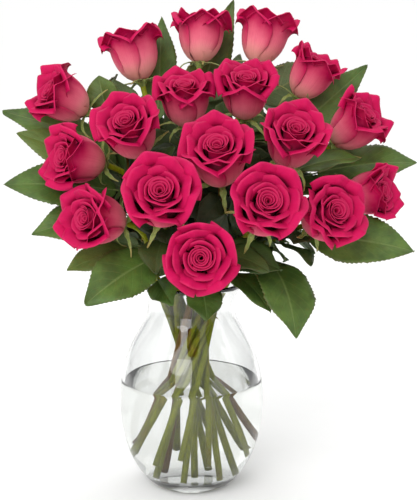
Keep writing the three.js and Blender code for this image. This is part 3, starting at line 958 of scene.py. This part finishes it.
def cad_leaf(node):
    """A CAD leaf's middle line from its stem, the directions across it, and its width."""
    rows, root, onto = leaf_rows(node)
    rows = rows[1:]
    if len(rows[-1]) > 1:
        rows = rows[:-1] + [rows[-1].mean(axis=0, keepdims=True)]
    middles = np.array([row.mean(axis=0) for row in rows])
    wide = []
    for row in rows[:-1]:
        gaps = np.linalg.norm(row[:, None] - row[None], axis=2)
        i, j = np.unravel_index(gaps.argmax(), gaps.shape)
        wide.append(row[i] - row[j])
    wide = np.array(wide + [wide[-1] * 0.1])
    key = wide[int(np.linalg.norm(wide, axis=1).argmax())]
    wide = wide * np.sign(wide @ key)[:, None]
    width = np.linalg.norm(wide, axis=1).max()
    start = onto + unit(root - onto) * STEM_RADIUS * 0.5
    line = np.vstack([start, root, middles])
    side = unit(np.vstack([wide[2], wide[2], wide]))
    side[:4] = side[4]
    tangent = unit(np.gradient(line, axis=0))
    up = np.cross(side, tangent)
    outward = middles[len(middles) // 2] - HEART
    if node in FRONT_TOPS:
        outward = np.array([0, -1, 0])
    if up[len(up) // 2] @ outward < 0:
        up = -up
    stalk_rows = 4
    run = np.r_[0, np.cumsum(np.linalg.norm(np.diff(line, axis=0), axis=1))]
    return line, side, up, width, run[stalk_rows - 1] / run[-1]


def even(line, side, up, count=40):
    """A leaf's line and its directions at evenly spaced points."""
    run = np.r_[0, np.cumsum(np.linalg.norm(np.diff(line, axis=0), axis=1))]
    at = np.linspace(0, run[-1], count)
    spread = [np.stack([np.interp(at, run, part[:, k]) for k in range(3)], axis=1) for part in (side, up)]
    return along_curve(line, count), unit(spread[0]), unit(spread[1])


LEAF_BLADES = []


class BOUQUET_OT_leaves(bpy.types.Operator):
    """Make the large leaves"""

    bl_idname = "bouquet.leaves"
    bl_label = "Leaves"

    def execute(self, context):
        settings = context.scene.bouquet_leaves
        paint = leaf_paint(settings)
        LEAF_BLADES.clear()
        for number, node in enumerate(LEAVES):
            rng = np.random.default_rng(settings.seed * 50 + number)
            line, side, up, width, blade_from = cad_leaf(node)
            line, side, up = even(line, side, up)
            shape = Shape()
            blade = add_leaf(shape, rng, line, side, up, width, settings, blade_from)
            LEAF_BLADES.append(blade[::9, ::4].reshape(-1, 3))
            shape.make(f"rose_{node}", paint, [node])
        return {"FINISHED"}


def flower_balls():
    """Balls that together fill the flowers, as middles and radii."""
    middles, radii = [], []
    for seat, axis, width in SEATS.values():
        for at, size in ((0.66, 0.56), (0.30, 0.36)):
            middles.append(seat + axis * at * width)
            radii.append(size * width)
    return np.array(middles), np.array(radii)


def point_tree(points):
    """A search tree of points, to find the nearest one to another point."""
    tree = KDTree(len(points))
    for index, point in enumerate(points.tolist()):
        tree.insert(point, index)
    tree.balance()
    return tree


def least_gap(tree, points):
    """How near any of these points comes to the tree's points."""
    return min(tree.find(point)[2] for point in points.tolist())


def leaf_is_free(points, balls, stems, blades):
    """Whether a leaf's points are clear of the vase, the flowers, the other stems and the other leaves."""
    low, high = np.array(CAD_BOX)
    if (points <= low - 4 * MM).any() or (points >= high + 2 * MM).any():
        return False
    height, apart = points[:, 2], np.hypot(points[:, 0], points[:, 1])
    if ((height < RIM_TOP + RIM_GAP) & (apart < PROFILE[:, 0].max())).any():
        return False
    if ((height < RIM_TOP + 26 * MM) & (apart > 62 * MM) & (points[:, 1] < 30 * MM)).any():
        return False
    middles, radii = balls
    if (np.linalg.norm(points[:, None] - middles[None], axis=2) < radii[None] + 0.5 * MM).any():
        return False
    if least_gap(stems, points[8:]) < STEM_RADIUS + STEM_GAP:
        return False
    return least_gap(blades, points[4:]) >= BLADE_GAP


def passes_through(shape, root, own, others):
    """Whether a leaf passes through another piece, or through its own stem away from its root."""
    tree = shape.tree()
    if any(tree.overlap(other) for other in others):
        return True
    points = np.concatenate(shape.points)
    touching = [points[shape.faces[face][0]] for face, _ in tree.overlap(own)]
    return any(np.linalg.norm(point - root) > JOIN_REACH for point in touching)


def leaf_way(rng, away, around):
    """Which way an inner leaf grows, and which way its upper side faces."""
    if rng.random() < FACING_OUT:
        towards = around * rng.uniform(-1, 1) + away * rng.uniform(0, 0.5)
        towards = unit(towards + np.array([0, 0, rng.uniform(-0.3, 1.0)]))
        up = away + np.array([0, 0, 0.35]) + rng.normal(0, 0.2, 3)
    else:
        towards = away + around * rng.normal(0, 0.9)
        towards = unit(towards + np.array([0, 0, rng.uniform(-0.25, 0.95)]))
        up = np.array([0, 0, 1.0]) + 0.7 * away + rng.normal(0, 0.25, 3)
    return towards, unit(up - towards * (up @ towards))


def draw_inner_leaf(rng, line):
    """A leaf somewhere on a stem above the rim: its line, side, upper way, width and test points."""
    above = np.flatnonzero(line[:, 2] > RIM_TOP + RIM_GAP)
    i = above[int(rng.uniform(0, 0.86) * len(above))]
    tangent = unit(line[i] - line[i - 1])
    away = unit(np.array([line[i, 0], line[i, 1], 0]))
    around = np.array([-away[1], away[0], 0])
    towards, up = leaf_way(rng, away, around)
    side_step = unit(towards - tangent * (towards @ tangent))
    run = rng.uniform(*INNER_LENGTHS) * MM
    width = run * rng.uniform(0.46, 0.58)
    start = line[i] + side_step * STEM_RADIUS * 0.5
    s = np.linspace(0, 1, 24)[:, None]
    bow = rng.uniform(0.05, 0.16)
    path = start + towards * run * s + up * run * bow * (4 * s * (1 - s) - 0.7 * s**2)
    side = unit(np.cross(towards, up))
    coarse = path[[5, 8, 12, 16, 20, 23]]
    across = blade_half_width(np.array([0.15, 0.3, 0.5, 0.65, 0.85, 1.0]), width)[:, None]
    points = np.stack([coarse, coarse - side * across * 0.9, coarse + side * across * 0.9], axis=1)
    return path, side, up, width, np.vstack([path[[2, 4]], points.reshape(-1, 3)])


def painted_shade_depth(place):
    """How much painted shade a leaf at this place gets: how deep it lies in the bouquet, from 0 outside to 1
    at its heart, and less low down.
    """
    inside = 1 - smooth(np.linalg.norm(place - HEART), 120 * MM, 175 * MM)
    return inside * (0.35 + 0.65 * smooth(place[2], RIM_TOP + 25 * MM, RIM_TOP + 60 * MM))


class BOUQUET_OT_foliage(bpy.types.Operator):
    """Make the smaller leaves that fill the bouquet between its stems"""

    bl_idname = "bouquet.foliage"
    bl_label = "Inner leaves"

    def execute(self, context):
        settings = context.scene.bouquet_leaves
        paint = bpy.data.materials["rose_leaf"]
        rng = np.random.default_rng(settings.seed + 1000)
        balls = flower_balls()
        lines = {name: along_curve(line, 160) for name, line in STEM_LINES.items()}
        stem_points, others_of = {}, {}
        stems = {name: tree_of(f"rose_stem_{name}") for name in ROSES}
        for name in ROSES:
            stem_points[name] = point_tree(np.vstack([lines[other] for other in ROSES if other != name]))
            others_of[name] = [stems[other] for other in ROSES if other != name]
        taken = [tree_of(f"rose_sepals_{name}") for name in ROSES]
        taken += [tree_of(f"rose_{node}") for node in LEAVES]
        blades = list(LEAF_BLADES)
        blade_points = point_tree(np.vstack(blades))
        made = 0
        for _ in range(LEAF_TRIES):
            if made == settings.inner:
                break
            name = ROSES[rng.integers(len(ROSES))]
            path, side, up, width, points = draw_inner_leaf(rng, lines[name])
            if not leaf_is_free(points, balls, stem_points[name], blade_points):
                continue
            shape = Shape()
            sides, ups = np.repeat(side[None], len(path), 0), np.repeat(up[None], len(path), 0)
            # Painted shade: how dark this leaf is painted for lying deep in the bouquet.
            inside = painted_shade_depth(path[16])
            add_leaf(shape, rng, path, sides, ups, width, settings, INNER_STALK, inside, 2, 11)
            if passes_through(shape, path[0], stems[name], taken + others_of[name]):
                continue
            blades.append(points)
            blade_points = point_tree(np.vstack(blades))
            taken.append(shape.tree())
            made += 1
            shape.make(f"inner_leaf_{made:02d}", paint)
        if made < settings.inner // 2:
            raise RuntimeError(f"only {made} inner leaves found room")
        return {"FINISHED"}


# ------------------------------------------------------------------ the stage


def floor_paint():
    """A pale floor, darker far out to the left and right."""
    paint = Paint("pale_floor", Specular_IOR_Level=0.1)
    grain = paint.noise(paint.place(), 30, 4.0)
    parts = paint.node("ShaderNodeSeparateXYZ", None, {0: paint.place()}, output="X")
    deep = Term(paint, parts.socket.node.outputs["Y"]).math("ABSOLUTE")
    wide = parts.math("ABSOLUTE") - deep * 0.3
    white = paint.mix(grain, (0.94, 0.94, 0.935), (0.97, 0.97, 0.965))
    colour = paint.mix(wide.ramp(0.5, 1.6), white, (0.40, 0.40, 0.405))
    return paint.feed(Base_Color=colour, Roughness=0.7 + grain * 0.1)


def light_world(strength):
    """Light from all round, a little darker low down and at the far left and right."""
    world = bpy.data.worlds.new("soft_studio")
    bpy.context.scene.world = world
    world.use_nodes = True
    nodes = Nodes(world.node_tree)
    way = nodes.node("ShaderNodeTexCoord", output="Generated")
    parts = nodes.node("ShaderNodeSeparateXYZ", None, {0: way}, output="X")
    height = Term(nodes, parts.socket.node.outputs["Z"])
    sides = parts.math("ABSOLUTE").ramp(0.86, 0.98) * (1 - height.ramp(0.2, 0.6))
    open_sky = nodes.mix(height.ramp(-0.1, 0.6), (0.78, 0.79, 0.80), (1.0, 1.0, 1.0))
    colour = nodes.mix(sides, open_sky, (0.22, 0.225, 0.23))
    glow = world.node_tree.nodes["Background"]
    world.node_tree.links.new(colour.socket, glow.inputs["Color"])
    glow.inputs["Strength"].default_value = strength


def area_light(name, place, target, size, power):
    """A soft rectangular light that faces a target."""
    lamp = bpy.data.lights.new(name, "AREA")
    lamp.shape = "RECTANGLE"
    lamp.size, lamp.size_y = size
    lamp.energy = power
    lit = bpy.data.objects.new(name, lamp)
    lit.location = place
    lit.rotation_euler = (Vector(target) - Vector(place)).to_track_quat("-Z", "Y").to_euler()
    bpy.context.scene.collection.objects.link(lit)


class BOUQUET_OT_stage(bpy.types.Operator):
    """Make the floor, the lights and the camera"""

    bl_idname = "bouquet.stage"
    bl_label = "Stage"

    def execute(self, context):
        settings = context.scene.bouquet_stage
        scene = context.scene
        low, high = np.array(CAD_BOX)
        middle = Vector(((low[0] + high[0]) / 2, 0, (low[2] + high[2]) / 2))

        disc = bmesh.new()
        bmesh.ops.create_circle(disc, cap_ends=True, segments=96, radius=25)
        mesh = bpy.data.meshes.new("floor")
        disc.to_mesh(mesh)
        disc.free()
        mesh.materials.append(floor_paint())
        floor = bpy.data.objects.new("floor", mesh)
        floor.location.z = low[2] - 0.05 * MM
        scene.collection.objects.link(floor)

        light_world(settings.sky)
        sun = bpy.data.lights.new("key", "SUN")
        sun.energy = settings.sun
        sun.angle = math.radians(38)
        key = bpy.data.objects.new("key", sun)
        key.rotation_euler = (math.radians(52), 0, math.radians(-24))
        scene.collection.objects.link(key)
        area_light("left_softbox", (-1.1, -0.5, 0.75), middle, (0.5, 1.1), 2.5)
        area_light("right_softbox", (1.2, -0.2, 0.6), middle, (0.4, 1.1), 1.5)
        area_light("front_softbox", (-0.5, -2.2, 1.0), middle, (1.2, 1.2), 15)
        area_light("top_softbox", (0.1, 0.6, 1.5), middle, (0.9, 0.5), 4)

        camera = bpy.data.cameras.new("camera")
        camera.lens = settings.lens
        camera.sensor_width = 36
        camera.clip_end = 100
        view = bpy.data.objects.new("camera", camera)
        back = Vector((0, -math.cos(settings.pitch), math.sin(settings.pitch)))
        view.location = middle + back * settings.distance
        view.rotation_euler = (-back).to_track_quat("-Z", "Y").to_euler()
        scene.collection.objects.link(view)
        scene.camera = view
        scene.view_settings.view_transform = "Standard"
        return {"FINISHED"}


# ------------------------------------------------------------------ the panel and the run

STEPS = (
    BOUQUET_OT_vase,
    BOUQUET_OT_water,
    BOUQUET_OT_stems,
    BOUQUET_OT_leaves,
    BOUQUET_OT_roses,
    BOUQUET_OT_foliage,
    BOUQUET_OT_stage,
)


class VIEW3D_PT_bouquet(bpy.types.Panel):
    bl_label = "Roses in a vase"
    bl_space_type = "VIEW_3D"
    bl_region_type = "UI"
    bl_category = "Roses"

    def draw(self, context):
        for group, kind in GROUPS.items():
            box = self.layout.box()
            box.label(text=kind.__doc__)
            for name in kind.__annotations__:
                box.prop(getattr(context.scene, group), name)
        for step in STEPS:
            self.layout.operator(step.bl_idname)


def register():
    for kind in (*GROUPS.values(), *STEPS, VIEW3D_PT_bouquet):
        bpy.utils.register_class(kind)
    for name, kind in GROUPS.items():
        setattr(bpy.types.Scene, name, PointerProperty(type=kind))


def unregister():
    for name in GROUPS:
        delattr(bpy.types.Scene, name)
    for kind in reversed((*GROUPS.values(), *STEPS, VIEW3D_PT_bouquet)):
        bpy.utils.unregister_class(kind)


def main():
    """Make everything in order."""
    register()
    for step in STEPS:
        getattr(bpy.ops.bouquet, step.bl_idname.split(".")[1])()


if __name__ == "__main__":
    main()
